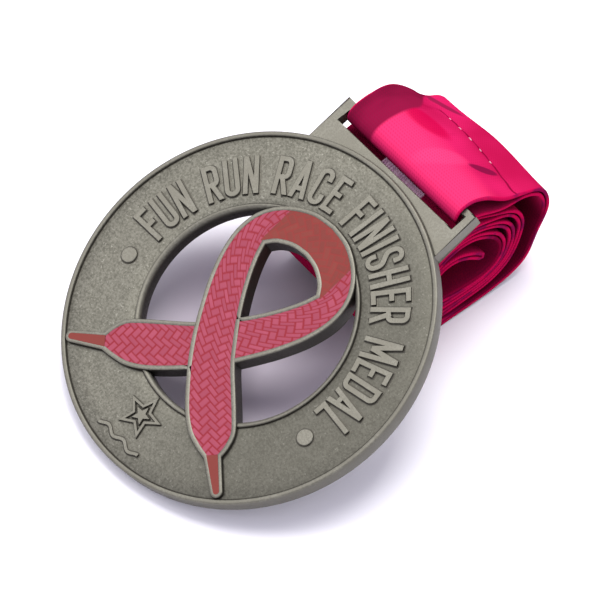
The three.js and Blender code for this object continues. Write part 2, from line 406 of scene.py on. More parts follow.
def letter_places(letters):
    """Each letter with the angle of its middle, spread over the upper part of the ring."""
    widths = [letters[sign][0] if sign != " " else WORD_SPACE for sign in LETTERING]
    sweep_angle = math.radians(LETTERING_START - LETTERING_END)
    reading_radius = LETTER_BASE_RADIUS + READING_HEIGHT
    gap = (sweep_angle * reading_radius - sum(widths)) / (len(widths) - 1)
    places = []
    used = 0
    for sign, width in zip(LETTERING, widths):
        angle = math.radians(LETTERING_START) - (used + width / 2) / reading_radius
        if sign != " ":
            places.append((sign, angle))
        used += width + gap
    return places


def level_ends(side, path):
    """Slides a stroke's ends along it until they are level with the baseline or the letter's top."""
    for end, neighbour in ((0, 1), (-1, -2)):
        level = path[end][1]
        rise = side[end][1] - side[neighbour][1]
        if level in (0, LETTER_HEIGHT) and rise != 0:
            side[end] = side[end] + (side[end] - side[neighbour]) * (level - side[end][1]) / rise
    return side


def raised_line(path, width, top):
    """A raised line of constant width along a path: drafted sides, eased edges and a flat top."""
    half = width / 2
    ease = min(MARK_EASE, top - FIELD_TOP)
    section = [
        (-half - MARK_DRAFT, MARK_FOOT),
        (-half, top - ease),
        (ease - half, top),
        (half - ease, top),
        (half, top - ease),
        (half + MARK_DRAFT, MARK_FOOT),
    ]
    sides = [level_ends(inset(path, off), path) for off, _ in section]
    return swept(sides, section)


def lengthened(path, more):
    """The path with both ends drawn out by a length."""
    path = np.array(path, float)
    path[0] += unit(path[0] - path[1]) * more
    path[-1] += unit(path[-1] - path[-2]) * more
    return path


def laid_on_ring(points, angle, width):
    """A letter's points, moved from its own baseline to its place on the ring."""
    radius = LETTER_BASE_RADIUS + points[:, 1]
    along = points[:, 0] - width / 2
    x = radius * math.cos(angle) + along * math.sin(angle)
    y = radius * math.sin(angle) - along * math.cos(angle)
    return np.column_stack([x, y, points[:, 2]])


def stacked(outlines, heights):
    """A solid from level outlines over one another, each with the same number of points."""
    count = len(outlines[0])
    rings = [at_height(outline, height) for outline, height in zip(outlines, heights)]
    faces = grid_faces(len(rings), count, closed_columns=True)[:, ::-1].tolist()
    floor = list(range(count))
    roof = [index + count * (len(rings) - 1) for index in floor]
    return np.vstack(rings), [*faces, roof, floor[::-1]]


def star_corners(scale):
    radii = [STAR_RADIUS, STAR_INNER_RADIUS] * 5
    angles = [math.pi / 2 + corner * math.pi / 5 for corner in range(10)]
    return [(scale * r * math.cos(a), STAR_Y + scale * r * math.sin(a)) for r, a in zip(radii, angles)]


def raised_star(top, spread):
    """A star's bold outline and a smaller solid star inside it, their corners scaled from the middle."""
    ease = min(MARK_EASE, top - FIELD_TOP)
    rings = [
        (1.02 + spread, MARK_FOOT), (1.0 + spread, top - ease), (0.98 + spread, top),
        (0.72 - spread, top), (0.7 - spread, top - ease), (0.68 - spread, MARK_FOOT),
    ]
    outline = [at_height(star_corners(scale), height) for scale, height in rings]
    outline_faces = grid_faces(len(rings), 10, closed_rows=True, closed_columns=True)[:, ::-1].tolist()
    core_scales = [0.46 + spread, 0.43 + spread, 0.41 + spread]
    core = stacked([star_corners(scale) for scale in core_scales], [MARK_FOOT, top - ease, top])
    return [(np.vstack(outline), outline_faces), core]


def raised_dot(x, top, spread):
    ease = min(DOT_EASE, top - FIELD_TOP)
    radii = [DOT_RADIUS + spread + more for more in (0.06, 0.0, -0.04, -0.12)]
    circles = [arc((x, DOT_PLACE[1]), radius, 0, 360, 48)[:-1] for radius in radii]
    return stacked(circles, [MARK_FOOT, top - ease, top - ease / 3, top])


def raised_lettering(top, spread):
    """Every stroke of every letter, each of a letter's strokes a hair higher than the one before."""
    letters = letter_strokes()
    parts = []
    for sign, angle in letter_places(letters):
        width, strokes = letters[sign]
        for number, stroke in enumerate(strokes):
            path = lengthened(stroke, spread)
            points, faces = raised_line(path, LETTER_STROKE + 2 * spread, top + STROKE_STEP * number)
            parts.append((laid_on_ring(points, angle, width), faces))
    return parts


def raised_wave(top, spread):
    x = np.linspace(-WAVE_HALF_LENGTH - spread, WAVE_HALF_LENGTH + spread, 60)
    y = WAVE_Y + WAVE_HEIGHT * np.sin(x * 2 * math.pi / WAVE_LENGTH)
    return raised_line(np.column_stack([x, y]), WAVE_WIDTH + 2 * spread, top)


def all_marks(letter_rise, dot_rise, star_rise, wave_rise, spread=0.0):
    """The lettering, two dots, the star and the small wave, each with its own rise over the field."""
    return merged([
        *raised_lettering(FIELD_TOP + letter_rise, spread),
        *[raised_dot(x, FIELD_TOP + dot_rise, spread) for x in (-DOT_PLACE[0], DOT_PLACE[0])],
        *raised_star(FIELD_TOP + star_rise, spread / STAR_RADIUS),
        raised_wave(FIELD_TOP + wave_rise, spread),
    ])


def make_marks(material):
    """The marks on the field, and the line of patina round each of them."""
    points, faces = all_marks(LETTER_RISE, DOT_RISE, STAR_RISE, WAVE_RISE)
    new_piece("cast_marks", points, faces, material, crease=20)
    points, faces = all_marks(*[PATINA_LINE_RISE] * 4, spread=PATINA_LINE)
    dark = {"recess": np.full(len(points), 0.8)}
    new_piece("mark_outlines", points, faces, material, attributes=dark)


# -------- the casting

def ring_section():
    """The ring's section as (radius, height), from its back up the outer wall and in over the front."""
    back = [(20.3, 0), (27, 0), (34.7, 0), (34.93, 0.07)]
    outer_wall = [(DISC_RADIUS, height) for height in (0.25, 1.6, 3.2)]
    outer_rim = [
        (34.95, 3.38), (34.83, 3.48), (34.66, RIM_TOP), (34.3, RIM_TOP), (34.19, 3.46), (34.14, 3.36),
    ]
    outer_groove = [(34.1, 2.97), (33.92, 2.98)]
    field = [(radius, FIELD_TOP) for radius in (33.86, 30.6, 27.3, 24.1, 21.15)]
    inner_groove = [(21.1, 2.98), (21.0, 2.97)]
    inner_rim = [
        (20.96, 3.36), (20.9, 3.46), (20.8, RIM_TOP), (20.62, 3.49), (20.4, 3.4), (20.2, 3.24),
        (20.07, 3.0),
    ]
    inner_wall = [(OPENING_RADIUS, height) for height in (2.65, 2.3, 0.3)]
    inner_corner = [(20.08, 0.08)]
    return np.array([
        *back, *outer_wall, *outer_rim, *outer_groove, *field,
        *inner_groove, *inner_rim, *inner_wall, *inner_corner,
    ])


def make_ring(material):
    """The ring's section, turned round the middle."""
    section = ring_section()
    angle = np.linspace(0, 2 * math.pi, RING_COLUMNS, endpoint=False)
    x = np.cos(angle)[:, None] * section[:, 0]
    y = np.sin(angle)[:, None] * section[:, 0]
    radius = np.broadcast_to(section[:, 0], x.shape)
    z = np.broadcast_to(section[:, 1], x.shape)
    opening_patina = smoothstep(OPENING_RADIUS + 0.12, OPENING_RADIUS, radius) * smoothstep(2.95, 2.4, z)
    groove_patina = 0.9 * (z > FIELD_TOP - 0.1) * (z < FIELD_TOP - 0.01)
    # the outer wall made darker all round
    outer_wall_darkening = 0.3 * (radius > DISC_RADIUS - 0.1) * (z < 3.3)
    on_wall = (radius > DISC_RADIUS - 0.08) | (radius < OPENING_RADIUS + 0.9)
    values = {
        "recess": opening_patina + groove_patina + outer_wall_darkening,
        "raised": (z > FIELD_TOP + 0.02) | on_wall,
        # painted shade: the field grows darker towards +x
        "painted_side_shade": smoothstep(-14, 26, x),
    }
    points = np.stack([x, y, z], axis=-1).reshape(-1, 3)
    faces = grid_faces(RING_COLUMNS, len(section), closed_rows=True, closed_columns=True)
    ring = new_piece("cast_ring", points, faces, material, attributes=values)
    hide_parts("medal_casting")


def bevel_edges(piece, width):
    """Bevels a piece's sharp edges and applies the modifier."""
    bevel = piece.modifiers.new("bevel", "BEVEL")
    bevel.width = width * MM
    bevel.segments = 3
    bevel.limit_method = "ANGLE"
    bevel.angle_limit = math.radians(50)
    shaped = bpy.data.meshes.new_from_object(piece.evaluated_get(bpy.context.evaluated_depsgraph_get()))
    piece.modifiers.clear()
    piece.data = shaped


def make_lug(material):
    """The lug: a plate from just inside the rim to the bar, with the slot through it."""
    columns = 25
    root_angle = math.degrees(math.acos(LUG_HALF_WIDTH / LUG_ROOT_RADIUS))
    slot_x = np.linspace(SLOT_HALF_LENGTH, -SLOT_HALF_LENGTH, columns)
    end_x = np.linspace(LUG_HALF_WIDTH, -LUG_HALF_WIDTH, columns)
    flat = np.vstack([
        arc((0, 0), LUG_ROOT_RADIUS, root_angle, 180 - root_angle, columns - 1),
        at_height(slot_x, SLOT_START),
        at_height(slot_x, LUG_END - BAR_WIDTH),
        at_height(end_x, LUG_END),
    ])
    faces = grid_faces(4, columns)[:, ::-1].tolist()
    faces = [face for face in faces if min(face) // columns != 1]
    near_end = [row * columns for row in range(4)]
    far_end = [first + columns - 1 for first in near_end]
    points, faces = slab(flat, LUG_THICKNESS, 0.0, [*faces, near_end[::-1], far_end])
    bevel_edges(new_piece("cast_lug", points, faces, material), LUG_BEVEL)


# -------- the lace

LACE_OUTER = [
    (0, 22.1), (-4.9, 21.3), (-9.7, 18.5), (-12.6, 14.6), (-13.4, 10), (-12.4, 5), (-10.2, 0),
    (-7.2, -5), (-3.9, -9.7), (0, -14.2), (5.2, -19.1), (8.9, -21.5), (12, -22.4), (14.9, -22.8),
]
LACE_INNER = [
    (17.0, -20.4), (16.7, -18.3), (15.6, -15.8), (13, -13.4), (10.3, -11.2), (5.9, -7.6), (2.8, -4.3),
    (0, -1.1), (-2.4, 2.1), (-4.7, 5.7), (-6.3, 8.8), EYE_CORNER,
]
LACE_EYE = [EYE_CORNER, (-5.7, 12.7), (-3, 14.1), (0, 14.6)]
AGLET_TIP = (21.1, -25.1)
AGLET_TIP_RADIUS = 1.12
AGLET_ANGLE = math.degrees(math.atan2(-3.7, 5.3))

OUTER_EDGE = spline(LACE_OUTER, 130)
INNER_EDGE = np.vstack([spline(LACE_INNER, 110), spline(LACE_EYE, 24)[1:]])
TIP_EDGE = arc(AGLET_TIP, AGLET_TIP_RADIUS, AGLET_ANGLE - 90, AGLET_ANGLE + 90, 14)
STRAND_OUTLINE = np.vstack([OUTER_EDGE, TIP_EDGE, INNER_EDGE])


def mirrored(path):
    return path * np.array([-1, 1])


def depth_in_front_strand(points):
    """How far inside the front strand's outline each point is, negative outside it."""
    nearest = np.full(len(points), np.inf)
    inside = np.zeros(len(points), bool)
    for start, end in zip(STRAND_OUTLINE, np.roll(STRAND_OUTLINE, -1, axis=0)):
        edge = end - start
        off = points - start
        part = np.clip(off @ edge / (edge @ edge), 0, 1)
        nearest = np.minimum(nearest, np.linalg.norm(off - part[:, None] * edge, axis=1))
        if edge[1] != 0:
            crosses = (start[1] > points[:, 1]) != (end[1] > points[:, 1])
            inside ^= crosses & (off[:, 0] < off[:, 1] * edge[0] / edge[1])
    return np.where(inside, nearest, -nearest)


def swept_wall(name, path, material, flip):
    """The rounded wall that stands round a strand, along one stretch of its outline."""
    section = [
        (0.0, LACE_BOTTOM), (0.0, LACE_TOP - 0.5), (0.0, LACE_TOP - 0.13), (0.04, LACE_TOP - 0.04),
        (0.12, LACE_TOP), (LACE_WALL - 0.08, LACE_TOP), (LACE_WALL, LACE_TOP - 0.06),
        (LACE_WALL, LACE_BOTTOM),
    ]
    points, faces = swept([inset(path, off) for off, _ in section], section)
    points[np.repeat(path[:, 0] == 0, len(section)), 0] = 0
    if flip:
        points = points * np.array([-1, 1, 1])
        faces = [face[::-1] for face in faces]
    patina = {"recess": np.where(points[:, 2] < LACE_TOP - 0.4, 1.0, 0.0)}
    new_piece(name, points, faces, material, attributes=patina)


def visible_runs(path):
    """The stretches of the path whose mirror image the front strand doesn't cover, a little tucked in."""
    shown = depth_in_front_strand(mirrored(path)) < WALL_TUCK
    changes = np.flatnonzero(np.diff(shown.astype(int))) + 1
    return [run for run, seen in zip(np.split(path, changes), np.split(shown, changes)) if seen[0]]


def make_lace_walls(material):
    swept_wall("cast_lace_front", STRAND_OUTLINE, material, flip=False)
    for number, run in enumerate(visible_runs(STRAND_OUTLINE), start=1):
        if len(run) > 3:
            swept_wall(f"cast_lace_rear_{number}", run, material, flip=True)


def make_lace_floor(name, material, flip, bottom, top):
    """The plate under the enamel, which joins a strand's walls."""
    outline = inset(STRAND_OUTLINE, POCKET_INSET)
    if flip:
        outline = mirrored(outline)[::-1]
    points, faces = slab(outline, top, bottom, [list(range(len(outline)))])
    new_piece(name, points, faces, material)


# -------- the enamel

def braid(across, along):
    """Herringbone blocks at 45 degrees to the strand: the distance to a block's edge and its own tone."""
    first = (across + along) / math.sqrt(2) / BLOCK_WIDTH
    second = (along - across) / math.sqrt(2) / BLOCK_WIDTH
    cell_a, cell_b = np.floor(first), np.floor(second)
    step = np.mod(cell_a - cell_b, 2 * BLOCK_RATIO)
    lies = step < BLOCK_RATIO
    part_a, part_b = first - cell_a, second - cell_b
    length_place = np.where(lies, step + part_a, 2 * BLOCK_RATIO - 1 - step + part_b)
    width_place = np.where(lies, part_b, part_a)
    edge = np.minimum(
        np.minimum(length_place, BLOCK_RATIO - length_place),
        np.minimum(width_place, 1 - width_place),
    ) * BLOCK_WIDTH
    block_a = np.where(lies, cell_a - step, cell_a)
    block_b = np.where(lies, cell_b, cell_b - (2 * BLOCK_RATIO - 1 - step))
    tone = np.mod(np.sin(block_a * 12.9898 + block_b * 78.233) * 43758.5453, 1)
    return edge, tone


def strand_surface():
    """A strand's braided stretch as rows of points across it, with their places across and along."""
    rows, columns = 430, 52
    outer = resample(inset(OUTER_EDGE, ENAMEL_INSET), rows)
    inner = resample(inset(INNER_EDGE, ENAMEL_INSET)[::-1], rows)
    outer[0, 0] = inner[0, 0] = 0
    share = np.linspace(0, 1, columns)[None, :, None]
    points = outer[:, None] * (1 - share) + inner[:, None] * share
    middle = points[:, columns // 2]
    width = np.linalg.norm(inner - outer, axis=1)
    across = (share[..., 0] - 0.5) * width[:, None]
    along = np.broadcast_to(lengths_along(middle)[:, None], across.shape)
    return points, across, along


def enamel_piece(name, flip, material, slot, keep):
    """A filled pocket: a stretch of a strand's surface, its braid in slight relief."""
    points, across, along = strand_surface()
    count = points.shape[:2]
    edge, tone = braid(across, along)
    joint = 1 - smoothstep(BLOCK_GAP * 0.6, BLOCK_GAP * 1.5, edge)
    top = (ENAMEL_TOP + ENAMEL_RELIEF[slot] * (0.5 - joint)).ravel()
    flat = points.reshape(-1, 2)
    faces = grid_faces(*count)
    if flip:
        flat = mirrored(flat)
        faces = faces[:, ::-1]
    faces = faces[keep(flat[faces].mean(axis=1))]
    values = [top, joint.ravel(), tone.ravel()]
    flat, faces, (top, joint, tone) = used_only(flat, faces, *values)
    points, faces = slab(flat, top, ENAMEL_BOTTOM, faces)
    attributes = {"joint": np.tile(joint, 2), "tone": np.tile(tone, 2)}
    return new_piece(name, points, faces, material, attributes=attributes)


def make_enamels(pink, coral):
    def in_turn(middles):
        return (np.abs(middles[:, 0]) < CORAL_HALF_WIDTH) & (middles[:, 1] > EYE_CORNER[1])

    def in_front(middles):
        return ~in_turn(middles)

    def clear_of_front(middles):
        return in_front(middles) & (depth_in_front_strand(middles) < ENAMEL_TUCK)

    def above_crossing(middles):
        return clear_of_front(middles) & (middles[:, 0] > 0)

    def below_crossing(middles):
        return clear_of_front(middles) & (middles[:, 0] < 0)

    front = enamel_piece("braid_front_strand", False, pink, "pink_enamel", in_front)
    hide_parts("enamel_front_strand")
    rear = enamel_piece("braid_rear_strand", True, pink, "pink_enamel", above_crossing)
    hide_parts("enamel_rear_strand")
    tail = enamel_piece("braid_left_tail", True, pink, "pink_enamel", below_crossing)
    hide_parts("enamel_left_tail")
    for side, flip in (("left", False), ("right", True)):
        half = enamel_piece(f"loop_turn_{side}", flip, coral, "coral_enamel", in_turn)
        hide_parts("enamel_loop_turn")


def make_aglets(coral):
    """The filled tips of the two tails."""
    for side, flip in (("right", False), ("left", True)):
        start = np.array([LACE_OUTER[-1], LACE_INNER[0]]) - AGLET_OVERLAP
        outline = inset(np.vstack([start[0], TIP_EDGE, start[1]]), AGLET_INSET)
        if flip:
            outline = mirrored(outline)[::-1]
        count = len(outline)
        points, faces = slab(outline, AGLET_TOP, ENAMEL_BOTTOM, [list(range(count))])
        plain = {"joint": np.zeros(2 * count), "tone": np.full(2 * count, 0.5)}
        aglet = new_piece(f"aglet_{side}", points, faces, coral, attributes=plain)
        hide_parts(f"enamel_{side}_aglet")


# -------- the ribbon

# Each guide is one lap of the roll, from the seam backwards, down, forwards and up again: the outermost
# lap, the lap inside it and the innermost lap. They are the CAD model's own guides.
OUTER_LAP = [
    (82.5, 24.9), (88.9, 19.4), (88.6, 12.5), (85.2, 5.2), (79, 1.9), (69, 1.1), (59, 1.2),
    (52.6, 4.8), (54.2, 12.6), (59.6, 20.6), (66, 24.9), (74, 25.4),
]
SECOND_LAP = [
    (78.6, 22.6), (82.6, 17.6), (82.9, 12.5), (80.8, 7.6), (76.4, 4.2), (68.5, 3), (59.5, 3),
    (54.7, 6.4), (56.3, 12.8), (61, 19.6), (66.3, 23.8), (72.8, 24.8),
]
INNER_LAP = [
    (72.8, 18), (76.2, 14.8), (77, 11.2), (75.4, 8.6), (72, 7.9), (67, 8.2), (62.6, 9),
    (60.1, 10.8), (60.3, 14), (62, 17), (65, 19), (69, 19.6),
]
TONGUE = [(63.6, 17.2), (67, 17.6), (70.4, 16), (73.2, 13.6)]
TOP_RUN = [(70.4, 32.4), (74.4, 31.2), (78.4, 28.8), (81.2, 26.7)]
BOTTOM_RUN = [(79.8, 25.6), (76, 27), (72.2, 27.8)]


def roll_line():
    """The middle line of the doubled ribbon, from the seam to the tongue in the middle of the roll."""
    turn = np.linspace(0, ROLL_TURNS, 241)
    step = np.round(np.mod(turn, 1) * LAP_STEPS).astype(int) % LAP_STEPS
    laps = [spline(guides, LAP_STEPS, closed=True) for guides in (OUTER_LAP, SECOND_LAP, INNER_LAP)]
    first, second, last = (lap[step] for lap in laps)
    on_second = np.clip(2 * turn - 1, 0, 1)[:, None]
    inward = (np.maximum(turn - 1, 0) / (ROLL_TURNS - 1))[:, None]
    line = (first * (1 - on_second) + second * on_second) * (1 - inward) + last * inward
    return resample(spline(np.vstack([line[::4], TONGUE]), 1200), 700)


def band_line():
    """The band's middle line, once round: over the bar, in along the outer run, round the tongue's tip
    and back out along the inner run. With it goes each point's distance from the seam."""
    line = roll_line()
    outer = inset(line, RUN_SPACING / 2)
    inner = inset(line, -RUN_SPACING / 2)
    tip, before = line[-1], line[-2]
    heading = math.degrees(math.atan2(tip[1] - before[1], tip[0] - before[0]))
    fold = arc(tip, RUN_SPACING / 2, heading + 90, heading - 90, 8)[1:-1]
    around = arc(BAR_AXIS, LOOP_RADIUS, -90, -270, 16)
    loop = spline(np.vstack([BOTTOM_RUN, around, TOP_RUN]), 200)
    loop = spline(resample(loop, 30), 200)
    closed = np.vstack([loop, outer, fold, inner[::-1], loop[:1]])
    length = lengths_along(closed)[-1]
    band = resample(closed, int(length / RIBBON_STEP) + 1)[:-1]
    along = np.arange(len(band)) * length / len(band)
    return band, along - lengths_along(loop)[-1], length


# How the cloth lies: the most that each bump moves a point, the (y, z) of its middle and its reaches.
NEAR_DROPS = [(2.6, (77.5, 28.5), (6, 6))]
FAR_DROPS = [(-1.4, (76, 31), (5, 5)), (1.8, (86, 24), (5, 5))]
NEAR_SHIFTS = [(-0.8, (90, 20), (6, 5)), (-1.6, (89, 9), (6, 7))]
FAR_SHIFTS = [(0.8, (91, 13), (6, 8)), (-1.15, (89, 21), (6, 5))]
FRONT_SHIFTS = [(-1.5, (51.5, 3), (5, 5))]

# Stretches along the ribbon that hardly any light reaches: how dark, from where to where, how soft.
DARK_STRETCHES = [(1.0, (521.0, 551.0), 3.0), (0.85, (310.0, 340.0), 4.0)]


def drape(x, y, z):
    """Moves a point of the ribbon as the cloth lies: drooping at one edge and bulging at the other."""
    near = smoothstep(-2, 15, x) ** 1.3
    far = smoothstep(2, -15, x) ** 1.2

    def total(bumps):
        return sum(
            most * np.exp(-(((y - middle[0]) / reach[0]) ** 2) - ((z - middle[1]) / reach[1]) ** 2)
            for most, middle, reach in bumps
        )

    down = near * total(NEAR_DROPS) + far * total(FAR_DROPS)
    back = near * total(NEAR_SHIFTS) + far * total(FAR_SHIFTS) + total(FRONT_SHIFTS)
    return y + back, z - down


def ribbon_points(band, along):
    """The band's surface as rings of points, one for each step along it, with their places across."""
    flat_half = RIBBON_WIDTH / 2 - EDGE_ROUNDING
    flat = np.linspace(-flat_half, flat_half, RIBBON_COLUMNS)
    turn = np.radians([60, 30, 0, -30, -60])
    edge = flat_half + EDGE_ROUNDING * np.cos(turn)
    face = np.ones(RIBBON_COLUMNS)
    across = np.concatenate([flat, edge, flat[::-1], -edge])
    side = np.concatenate([face, np.sin(turn), -face, -np.sin(turn)])
    into = unit(band - np.roll(band, 1, axis=0))
    out = unit(np.roll(band, -1, axis=0) - band)
    heading = unit(into + out)
    outward = side * RIBBON_THICKNESS / 2 - seam_dip(along[:, None], across)
    y = band[:, :1] - heading[:, 1:] * outward
    z = band[:, 1:] + heading[:, :1] * outward
    x = across - UNDER_SHIFT * between(along, UNDER_RUN, UNDER_EASE)[:, None]
    y, z = drape(x, y, z)
    return np.stack([x, y, np.maximum(z, FLOOR_GAP)], axis=-1), np.broadcast_to(across, y.shape)


def seam_place(x):
    """Where the slanting row of stitches crosses the ribbon, along it."""
    return SEAM_MIDDLE + SEAM_SLANT * x


def stitch_wave(x):
    """1 where the thread comes up through the cloth's face and -1 where it goes down."""
    return np.cos(2 * math.pi * (x + 0.1) / STITCH_LENGTH)


def seam_dip(along, x):
    """How far the row of stitches pulls the outer run in."""
    groove = np.exp(-(((along - seam_place(x)) / SEAM_REACH) ** 2))
    pull = SEAM_DEPTH + SEAM_RIPPLE * stitch_wave(x)
    return groove * pull * smoothstep(14.8, 13.5, np.abs(x))


def between(value, span, ease):
    """1 inside the span and 0 outside, with soft ends."""
    start, end = span
    return smoothstep(start - ease, start + ease, value) * smoothstep(end + ease, end - ease, value)


def make_ribbon(material):
    band, along, length = band_line()
    rings, across = ribbon_points(band, along)
    points = rings.reshape(-1, 3)
    faces = grid_faces(rings.shape[0], rings.shape[1], closed_rows=True, closed_columns=True)
    shade = sum(depth * between(along, span, ease) for depth, span, ease in DARK_STRETCHES)
    values = {
        "across": across,
        "along": np.repeat(along, rings.shape[1]),
        "shade": np.repeat(shade, rings.shape[1]),
    }
    piece = new_piece(
        "neck_ribbon", points, faces[:, ::-1], material, "lanyard", RIBBON_FRAME, values,
    )
    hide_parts(*[node for node in frame["nodes"] if node.startswith("ribbon_")])
    return band, along


def make_thread(material, band, along):
    """One row of stitches across the outer run, the thread up over the cloth and down into the pucker."""
    sides = 10
    x = np.arange(THREAD_START, THREAD_END, 0.16)
    order = np.argsort(along)
    crossing = np.column_stack([np.interp(seam_place(x), along[order], line) for line in band[order].T])
    heading = unit(crossing[0] - crossing[-1])
    normal = np.array([-heading[1], heading[0]])
    lift = RIBBON_THICKNESS / 2 - THREAD_DEPTH + THREAD_WAVE * stitch_wave(x)
    turn = np.linspace(0, 2 * math.pi, sides, endpoint=False)
    along_part = THREAD_DIAMETER / 2 * np.cos(turn)[None, :]
    normal_part = lift[:, None] + THREAD_DIAMETER / 2 * np.sin(turn)
    y = crossing[:, :1] + heading[0] * along_part + normal[0] * normal_part
    z = crossing[:, 1:] + heading[1] * along_part + normal[1] * normal_part
    x = np.broadcast_to(x[:, None], y.shape)
    y, z = drape(x, y, z)
    points = np.stack([x, y, z], axis=-1).reshape(-1, 3)
    faces = grid_faces(len(x), sides, closed_columns=True).tolist()
    faces += [list(range(sides)), [len(points) - 1 - index for index in range(sides)]]
    seam = new_piece("seam_stitches", points, faces, material, "lanyard", RIBBON_FRAME)
    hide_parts("seam_thread")


# -------- materials

class Nodes:
    """Short calls for building a material's node tree."""

    def __init__(self, name):
        self.material = bpy.data.materials.new(name)
        self.material.use_nodes = True
        self.tree = self.material.node_tree
        self.shader = self.tree.nodes["Principled BSDF"]

    def feed(self, socket, value):
        """Links a socket to the value, or sets it. A tuple is a colour."""
        if isinstance(value, bpy.types.NodeSocket):
            self.tree.links.new(value, socket)
        else:
            socket.default_value = (*value, 1) if isinstance(value, tuple) else value

    def node(self, kind, output, inputs, **settings):
        """One output of a new node, its inputs fed by name or number."""
        node = self.tree.nodes.new(kind)
        for key, value in settings.items():
            setattr(node, key, value)
        for key, value in inputs.items():
            self.feed(node.inputs[key], value)
        return node.outputs[output]

    def math(self, operation, first, second=0.0):
        return self.node("ShaderNodeMath", 0, {0: first, 1: second}, operation=operation)

    def product(self, *values):
        """All the values multiplied."""
        result = values[0]
        for value in values[1:]:
            result = self.math("MULTIPLY", result, value)
        return result

    def mix(self, factor, first, second):
        return self.node("ShaderNodeMix", 2, {0: factor, 6: first, 7: second}, data_type="RGBA")

    def ramp(self, value, low, high, low_value=0.0, high_value=1.0):
        inputs = {0: value, 1: low, 2: high, 3: low_value, 4: high_value}
        return self.node("ShaderNodeMapRange", 0, inputs, interpolation_type="SMOOTHSTEP")

    def place(self):
        """The point's place on the object, in millimetres."""
        place = self.node("ShaderNodeTexCoord", "Object", {})
        return self.node("ShaderNodeVectorMath", 0, {0: place, "Scale": 1 / MM}, operation="SCALE")

    def noise(self, vector, size, detail, roughness=0.55):
        inputs = {"Vector": vector, "Scale": 1 / size, "Detail": detail, "Roughness": roughness}
        return self.node("ShaderNodeTexNoise", "Fac", inputs)

    def wave(self, vector, direction, scale):
        inputs = {"Vector": vector, "Scale": scale}
        return self.node("ShaderNodeTexWave", "Fac", inputs, wave_type="BANDS", bands_direction=direction)

    def attribute(self, name):
        return self.node("ShaderNodeAttribute", "Fac", {}, attribute_name=name)

    def join(self, x, y, z=0.0):
        return self.node("ShaderNodeCombineXYZ", 0, {0: x, 1: y, 2: z})

    def ellipse(self, x, y, middle, reach, turn):
        """Under 1 inside an ellipse with these half axes, its first axis turned by some degrees."""
        cos, sin = math.cos(math.radians(turn)), math.sin(math.radians(turn))
        dx = self.math("SUBTRACT", x, middle[0])
        dy = self.math("SUBTRACT", y, middle[1])
        along = self.math("ADD", self.product(dx, cos), self.product(dy, sin))
        side = self.math("SUBTRACT", self.product(dy, cos), self.product(dx, sin))
        parts = [self.math("DIVIDE", along, reach[0]), self.math("DIVIDE", side, reach[1])]
        return self.math("ADD", *[self.product(part, part) for part in parts])

    def occlusion(self, reach):
        return self.node("ShaderNodeAmbientOcclusion", "AO", {"Distance": reach * MM}, samples=8)

    def bump(self, height, depth, strength):
        """A bump of this depth in millimetres."""
        inputs = {"Strength": strength, "Distance": depth * MM, "Height": height}
        self.feed(self.shader.inputs["Normal"], self.node("ShaderNodeBump", 0, inputs))

    def finish(self, colour, roughness, **sockets):
        self.feed(self.shader.inputs["Base Color"], colour)
        self.feed(self.shader.inputs["Roughness"], roughness)
        for key, value in sockets.items():
            self.shader.inputs[key.replace("_", " ")].default_value = value
        return self.material


def nickel_material():
    """Antique nickel: worn rims, a sand-blasted field with painted glints and painted shade that darkens it
    towards +x, and dark patina at the foot of every wall.
    """
    n = Nodes("antique_nickel")
    place = n.place()
    mottle = n.noise(place, 2.0, 3)
    grain = n.noise(place, 0.45, 2, 0.7)
    sparkle = n.noise(place, 0.5, 2, 0.8)
    field = n.mix(n.ramp(mottle, 0.35, 0.65), (0.124, 0.12, 0.095), (0.145, 0.14, 0.112))
    field = n.mix(n.ramp(grain, 0.5, 0.64, 0.0, 0.7), field, (0.205, 0.2, 0.162))
    field = n.mix(n.ramp(grain, 0.5, 0.36, 0.0, 0.7), field, (0.07, 0.067, 0.052))
    # painted glints: bright specks of reflected light on the blasted field
    field = n.mix(n.ramp(sparkle, 0.62, 0.71, 0.0, 0.75), field, (0.3, 0.293, 0.245))
    # painted shade: the field darker towards +x
    field = n.mix(n.product(n.attribute("painted_side_shade"), 0.5), field, (0.05, 0.048, 0.037))
    colour = n.mix(n.attribute("raised"), field, worn_nickel(n, place, grain))
    n.bump(n.math("ADD", grain, sparkle), 0.04, 0.3)
    return n.finish(patinated(n, colour), n.ramp(grain, 0.3, 0.7, 0.45, 0.62), Metallic=0.75)


def smooth_nickel_material():
    """The same plate where the casting is smooth: the lug, the marks and the lace's walls."""
    n = Nodes("antique_nickel_smooth")
    place = n.place()
    grain = n.noise(place, 0.35, 3, 0.6)
    colour = worn_nickel(n, place, grain)
    n.bump(grain, 0.04, 0.3)
    return n.finish(patinated(n, colour), n.ramp(grain, 0.3, 0.7, 0.4, 0.52), Metallic=0.75)


def worn_nickel(n, place, grain):
    """The bright metal of the rims, the marks and the walls, a little darker in its grain."""
    worn = n.noise(place, 3.5, 4)
    bright = n.mix(n.ramp(worn, 0.35, 0.7), (0.152, 0.145, 0.116), (0.183, 0.177, 0.145))
    return n.mix(n.ramp(grain, 0.6, 0.4), bright, (0.13, 0.125, 0.1))


def patinated(n, colour):
    """Darkens the recesses and the foot of each wall."""
    foot = n.ramp(n.occlusion(0.42), 0.93, 0.55, 0.0, 0.9)
    hidden = n.math("MAXIMUM", n.product(n.attribute("recess"), 0.85), foot)
    return n.mix(hidden, colour, (0.016, 0.013, 0.009))


